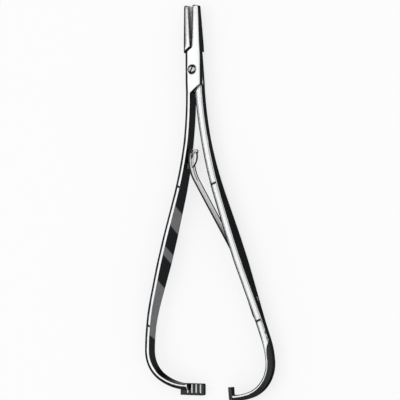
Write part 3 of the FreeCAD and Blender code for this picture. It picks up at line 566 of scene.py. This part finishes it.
def right_handle(tree):
    """1 on the right handle, and 0 on the jaw, the plate and the bow at the tail of its half."""
    return window(tree, own_axes(tree, OPEN_ANGLE)["Y"], *HANDLE_SPAN, 10.0 * MM)


def right_rubs(tree, soft, broad):
    """The serrated face of the jaw."""
    axes = own_axes(tree, OPEN_ANGLE)
    face = window(tree, axes["X"], *SERRATED_FACE, 0.1 * MM)
    return product(tree, face, rise(tree, axes["Y"], *JAW_START), uneven(tree, broad))


def right_painted_shading(tree, soft, broad):
    """Painted shade: dark lines along the edges and in the marks, a grey line along the handle's rounding
    with mottled patches of shade under it, and the dark catch, which leaves its ridges light."""
    axes = own_axes(tree, OPEN_ANGLE)
    marks = [mark(tree, axes, soft, x, y, MARK_SLANT) for x, y in MARKS]
    outline = outline_share(tree, spread(tree, axes["Y"], 1.2 * MM, 3.4 * MM, *LOWER_BOW))
    across, _, upright = split(tree, soft)
    line = window(tree, upright, 0.40, 0.54, 0.03)
    line = product(tree, line, window(tree, axes["Y"], *GREY_LINE_SPAN, 2.0 * MM), 0.6)
    mottle = window(tree, upright, 0.05, 0.6, 0.1)
    mottle = product(tree, mottle, window(tree, axes["Y"], *MOTTLED_SPAN, 3.0 * MM))
    mottle = product(tree, mottle, spread(tree, broad, 0.1, 1.0, 0.4, 0.6))
    rounding = product(tree, rise(tree, across, 0.2, 0.5), largest(tree, line, mottle))
    catch = product(tree, fall(tree, axes["X"], *CATCH_RIGHT), fall(tree, axes["Y"], *TAILS))
    catch = product(tree, catch, fall(tree, axes["Z"], *RIDGE_Z))
    return largest(tree, outline, rounding, catch, *marks)


def screw_painted_shading(tree, soft, broad):
    """Painted shade in the slot and along the rim of the screw's head."""
    axes = own_axes(tree)
    return largest(tree, fall(tree, axes["Z"], *SLOT_Z), ring(tree, axes, *HEAD_RING))


def spring_painted_shading(tree, soft, broad):
    """Painted shade in lines along both long edges of the strip, the one at the back broader."""
    from_middle = calc(tree, "SUBTRACT", own_axes(tree)["Z"], MIDDLE_Z + 0.3 * MM)
    return rise(tree, calc(tree, "ABSOLUTE", from_middle), 2.0 * MM, 2.2 * MM)


def dress(node, material):
    """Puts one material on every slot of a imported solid."""
    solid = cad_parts[node]
    if not solid.material_slots:
        solid.data.materials.append(material)
    for slot in solid.material_slots:
        slot.material = material


# Path and strip of the leaf spring
def arc_path(start, heading, pieces, steps):
    """Points of a line made of arcs. A piece is (length, curvature), and the point at the length s of a piece
    is z0 + (exp(i (h + k s)) - exp(i h)) / (i k), or z0 + s exp(i h) where k is 0."""
    at, turned = start, heading
    places = [np.array([at])]
    for (length, curve), count in zip(pieces, steps):
        s = np.linspace(0.0, length, count + 1)[1:]
        if curve:
            along = (np.exp(1j * (turned + curve * s)) - np.exp(1j * turned)) / (1j * curve)
        else:
            along = s * np.exp(1j * turned)
        places.append(at + along)
        at, turned = at + along[-1], turned + curve * length
    return np.concatenate(places)


def spring_path(thickness, eye_radius):
    """The strip's middle line before the handle is opened, as complex numbers: along the handle, off it in a
    soft bend, straight across, over in a bow and round into the eye."""
    sine, cosine = math.sin(HANDLE_SLOPE), math.cos(HANDLE_SLOPE)
    straight = complex(ARM_INSET + BOW_RADIUS * (1.0 - cosine), -ARM_TOP - BOW_RADIUS * sine)
    root = straight + ROOT_REACH * complex(sine, -cosine) + 0.5 * thickness * complex(-cosine, -sine)
    bend = BEND_RADIUS - 0.5 * thickness
    bow = ARCH_RADIUS + 0.5 * thickness
    roll = eye_radius - 0.5 * thickness
    pieces = (
        (FOOT_LENGTH, 0.0),
        (bend * BEND_TURN, 1.0 / bend),
        (LEG_LENGTH, 0.0),
        (bow * ARCH_TURN, -1.0 / bow),
        (roll * EYE_TURN, -1.0 / roll),
    )
    return arc_path(root, math.radians(90.0) + HANDLE_SLOPE, pieces, STEPS)


def slot_half(place, low, high, half):
    """Half the opening of a slot with round ends: half between low and high, and
    sqrt(half^2 - distance^2) beyond them."""
    beyond = np.maximum(np.maximum(low - place, place - high), 0.0)
    return np.sqrt(np.maximum(half * half - beyond * beyond, 0.0))


def grid_faces(rows, columns, first=0):
    """Corner numbers of the quads of a grid that is stored row by row."""
    corner = first + np.arange((rows - 1) * columns).reshape(rows - 1, columns)[:, :-1].ravel()
    return np.stack([corner, corner + 1, corner + columns + 1, corner + columns], axis=1)


def new_object(name, vertices, faces):
    mesh = bpy.data.meshes.new(name)
    mesh.from_pydata(vertices.tolist(), [], faces.tolist())
    mesh.update()
    piece = bpy.data.objects.new(name, mesh)
    bpy.context.scene.collection.objects.link(piece)
    return piece


def settle(piece):
    """Turns the piece's modifiers into plain mesh, with its faces pointing outwards and its edges sharp where
    they turn by more than the sharp angle."""
    bpy.context.view_layer.update()
    seen = piece.evaluated_get(bpy.context.evaluated_depsgraph_get())
    finished = bpy.data.meshes.new_from_object(seen)
    piece.modifiers.clear()
    piece.data = finished
    shell = bmesh.new()
    shell.from_mesh(finished)
    bmesh.ops.remove_doubles(shell, verts=shell.verts, dist=1e-7)
    bmesh.ops.recalc_face_normals(shell, faces=shell.faces)
    shell.to_mesh(finished)
    shell.free()
    finished.shade_smooth()
    finished.set_sharp_from_angle(angle=SHARP_ANGLE)


class NEEDLE_OT_forgings(bpy.types.Operator):
    """Finishes the two forged halves in fine-ground steel, with painted shade on their walls, edges and
    hollows and a painted sheen on the left handle's inner side
    """

    bl_idname = "needle.forgings"
    bl_label = "Finish the forged halves"

    def execute(self, context):
        setting = context.scene.needle_steel
        for node, side_patch_tone, turn, lean, turned, side_patches, painted_shading in (
            ("front_half", setting.side_patch_tone, -0.2, 0.85, 1.0, left_painted_sheen, left_painted_shading),
            ("back_half", setting.serration_tone, 0.28, 1.6, right_handle, right_rubs, right_painted_shading),
        ):
            ground = steel(
                f"{node}_ground_steel",
                (setting.face_tone, setting.side_shade_tone, side_patch_tone, setting.side_shade_tone),
                setting.face_roughness,
                setting.grain_width,
                setting.edge_softness,
                turn=turn,
                lean=lean,
                turned=turned,
                side_patches=side_patches,
                painted_shading=painted_shading,
            )
            dress(node, ground)
        return {"FINISHED"}


class NEEDLE_OT_fasteners(bpy.types.Operator):
    """Finishes the screw, the rivet and the hook in turned and filed steel, with painted shade on their walls
    and in the screw's slot and rim
    """

    bl_idname = "needle.fasteners"
    bl_label = "Finish the fasteners"

    def execute(self, context):
        setting = context.scene.needle_steel
        for node, tone, roughness, painted_shading in (
            ("pivot_screw", setting.fastener_tone, 0.22, screw_painted_shading),
            ("spring_rivet", setting.fastener_tone, 0.2, None),
            ("spring_hook", setting.fastener_tone, 0.25, None),
        ):
            # The fasteners' walls take the side tone as painted shade.
            tones = (tone, setting.side_shade_tone, setting.side_patch_tone, setting.side_shade_tone)
            grain, softness = 0.5 * setting.grain_width, 0.5 * setting.edge_softness
            dress(node, steel(f"{node}_steel", tones, roughness, grain, softness, painted_shading=painted_shading))
        return {"FINISHED"}


class NEEDLE_OT_leaf_spring(bpy.types.Operator):
    """Bends the leaf spring from polished strip, with its slot and its rolled eye"""

    bl_idname = "needle.leaf_spring"
    bl_label = "Bend the leaf spring"

    def execute(self, context):
        setting, finish = context.scene.needle_spring, context.scene.needle_steel
        path = spring_path(setting.thickness, setting.eye_radius)
        line, where = self.sections(path, 0.5 * setting.slot_width)
        placed = line * np.exp(1j * OPEN_ANGLE)
        strip = new_object("spring_strip", *self.sheets(line, placed, where, setting))
        shell = bmesh.new()
        shell.from_mesh(strip.data)
        bmesh.ops.remove_doubles(shell, verts=shell.verts, dist=2e-6)
        shell.to_mesh(strip.data)
        shell.free()
        wall = strip.modifiers.new("wall", "SOLIDIFY")
        wall.thickness = setting.thickness
        wall.offset = 0.0
        wall.use_even_offset = True
        edge = strip.modifiers.new("edge", "BEVEL")
        edge.width = EDGE_WIDTH
        edge.segments = 2
        edge.limit_method = "ANGLE"
        edge.angle_limit = math.radians(50.0)
        settle(strip)
        strip.data.materials.clear()
        # The strip's front and back edges take the side tone as painted shade, and its broad faces the spring
        # tone.
        strip.data.materials.append(
            steel(
                "polished_spring_steel",
                (finish.side_shade_tone, finish.spring_tone, finish.side_patch_tone, finish.side_shade_tone),
                finish.spring_roughness,
                0.7 * finish.grain_width,
                0.5 * finish.edge_softness,
                turn=0.43,
                painted_shading=spring_painted_shading,
            )
        )
        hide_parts("leaf_spring")
        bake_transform(strip)
        return {"FINISHED"}

    def sections(self, path, half_slot):
        """Places of the strip's sections and their numbers along the path, with more of them where the slot's
        round ends need them."""
        number = np.arange(len(path))
        leg = number < SLOTTED_STEPS
        order = np.argsort(path.imag[leg])
        quarter = half_slot * np.cos(np.linspace(0.0, 0.5 * np.pi, 8))
        ends = np.concatenate([SLOT_ENDS[0] - quarter, SLOT_ENDS[1] + quarter])
        extra = np.interp(ends, path.imag[leg][order], number[leg][order])
        where = np.unique(np.concatenate([number, np.round(extra, 4)]))
        line = np.interp(where, number, path.real) + 1j * np.interp(where, number, path.imag)
        return line, where

    def sheets(self, line, placed, where, setting):
        """Corners and faces of the two flat sheets beside the slot, which meet where there is none. Across a
        section each reaches from half the slot's opening to half the width, less r - sqrt(r^2 - (r - s)^2) at
        the rounded corners of the foot, with s the length from its end."""
        slot = slot_half(line.imag, *SLOT_ENDS, 0.5 * setting.slot_width)
        opening = np.where(where < SLOTTED_STEPS, slot, 0.0)
        length = np.concatenate([[0.0], np.cumsum(np.abs(np.diff(line)))])
        foot = np.clip(FOOT_CORNER - length, 0.0, None)
        corner = FOOT_CORNER - np.sqrt(np.maximum(FOOT_CORNER**2 - foot**2, 0.0))
        reach = 0.5 * setting.width - corner
        share = np.linspace(0.0, 1.0, COLUMNS)
        sheets, faces = [], []
        for place, side in enumerate((-1.0, 1.0)):
            across = side * (opening[:, None] + (reach - opening)[:, None] * share)
            along = np.broadcast_to(placed[:, None], across.shape)
            sheets.append(np.stack([along.real, along.imag, MIDDLE_Z + across], axis=2).reshape(-1, 3))
            quads = grid_faces(len(line), COLUMNS, place * len(line) * COLUMNS)
            faces.append(quads if side > 0 else quads[:, ::-1])
        return np.concatenate(sheets), np.concatenate(faces)


class NEEDLE_OT_stage(bpy.types.Operator):
    """Sets up the table, the soft lamps and the camera"""

    bl_idname = "needle.stage"
    bl_label = "Set up table, lamps and camera"

    def execute(self, context):
        scene, setting = context.scene, context.scene.needle_stage
        scene.view_settings.view_transform = "Standard"
        self.make_floor(setting)
        self.make_lamps(setting)
        self.make_camera(scene, setting)
        return {"FINISHED"}

    def make_floor(self, setting):
        """A table of 6 m that looks paler to the camera and in reflections than its own colour."""
        height, reach = CAD_BOX[0][2] - 0.05 * MM, 3.0
        corners = np.array([[-reach, -reach], [reach, -reach], [reach, reach], [-reach, reach]])
        corners = np.column_stack([corners, np.full(4, height)])
        floor = new_object("table", corners, np.array([[0, 1, 2, 3]]))
        material, tree, output = new_material("matt_white_table")
        surface = add(tree, "ShaderNodeBsdfDiffuse", Color=(*setting.floor_colour, 1.0))
        glow = add(tree, "ShaderNodeEmission", Color=(1.0, 1.0, 1.0, 1.0), Strength=1.0)
        rays = add(tree, "ShaderNodeLightPath").outputs
        seen = largest(tree, *(rays[f"Is {kind} Ray"] for kind in ("Camera", "Glossy", "Transmission")))
        share = product(tree, seen, setting.glow_share)
        mixed = add(
            tree, "ShaderNodeMixShader", Fac=share, n1=surface.outputs["BSDF"], n2=glow.outputs["Emission"]
        )
        tree.links.new(mixed.outputs["Shader"], output.inputs["Surface"])
        floor.data.materials.append(material)

    def make_lamps(self, setting):
        world = bpy.data.worlds.new("studio")
        bpy.context.scene.world = world
        world.use_nodes = True
        tree = world.node_tree
        tree.nodes.clear()
        output = tree.nodes.new("ShaderNodeOutputWorld")
        direction = add(tree, "ShaderNodeTexCoord").outputs["Generated"]
        to_right = split(tree, direction)["X"]
        level = spread(tree, to_right, setting.room_level, setting.wall_level, *WALL_EDGE)
        around = add(tree, "ShaderNodeBackground", Color=(1.0, 1.0, 1.0, 1.0), Strength=level)
        tree.links.new(around.outputs["Background"], output.inputs["Surface"])
        for name, left, right in SOFTBOXES:
            lamp = bpy.data.lights.new(name, "AREA")
            lamp.shape = "RECTANGLE"
            lamp.size = right - left
            lamp.size_y = SOFTBOX_LENGTH
            lamp.energy = math.pi * lamp.size * lamp.size_y * setting.lamp_level
            holder = bpy.data.objects.new(name, lamp)
            bpy.context.scene.collection.objects.link(holder)
            holder.location = (0.5 * (left + right), *SOFTBOX_PLACE)

    def make_camera(self, scene, setting):
        """The camera looks along -back, with right and up turned by the roll about it."""
        turn, tilt, roll = setting.side_turn, setting.tilt, setting.roll
        back = Vector((math.sin(turn) * math.cos(tilt), math.sin(tilt), math.cos(turn) * math.cos(tilt)))
        right = Vector((math.cos(turn), 0.0, -math.sin(turn)))
        up = back.cross(right)
        right, up = (
            right * math.cos(roll) + up * math.sin(roll),
            up * math.cos(roll) - right * math.sin(roll),
        )
        half = PICTURE_WIDTH / 2
        target = right * ((half - PIVOT_PLACE[0]) * PIXEL) + up * ((PIVOT_PLACE[1] - half) * PIXEL)
        target += back * (MIDDLE_Z + 2.0 * MM)
        lens = bpy.data.cameras.new("camera")
        lens.lens = setting.lens
        lens.sensor_width = 36.0
        lens.sensor_fit = "HORIZONTAL"
        distance = PICTURE_WIDTH * PIXEL * setting.lens / lens.sensor_width
        lens.clip_start = 0.01
        lens.clip_end = 20.0
        camera = bpy.data.objects.new("camera", lens)
        scene.collection.objects.link(camera)
        placing = Matrix((right, up, back)).transposed().to_4x4()
        placing.translation = target + back * distance
        camera.matrix_world = placing
        scene.camera = camera


class NEEDLE_PT_panel(bpy.types.Panel):
    """Lists the sizes and colours, and the steps that make the needle holder"""

    bl_idname = "NEEDLE_PT_panel"
    bl_label = "Needle holder"
    bl_space_type = "VIEW_3D"
    bl_region_type = "UI"
    bl_category = "Needle holder"

    def draw(self, context):
        layout = self.layout
        for group in GROUPS:
            settings = getattr(context.scene, group)
            box = layout.box()
            for key in settings.__annotations__:
                box.prop(settings, key)
        for operator in OPERATORS:
            layout.operator(operator.bl_idname)


GROUPS = {"needle_steel": SteelSettings, "needle_spring": SpringSettings, "needle_stage": StageSettings}
OPERATORS = (NEEDLE_OT_forgings, NEEDLE_OT_fasteners, NEEDLE_OT_leaf_spring, NEEDLE_OT_stage)


def register():
    for kind in (*GROUPS.values(), *OPERATORS, NEEDLE_PT_panel):
        bpy.utils.register_class(kind)
    for name, kind in GROUPS.items():
        setattr(bpy.types.Scene, name, PointerProperty(type=kind))


def unregister():
    for name in GROUPS:
        delattr(bpy.types.Scene, name)
    for kind in (NEEDLE_PT_panel, *reversed(OPERATORS), *reversed(list(GROUPS.values()))):
        bpy.utils.unregister_class(kind)


def main():
    register()
    bpy.ops.needle.forgings()
    bpy.ops.needle.fasteners()
    bpy.ops.needle.leaf_spring()
    bpy.ops.needle.stage()
    bpy.context.view_layer.update()


if __name__ == "__main__":
    main()
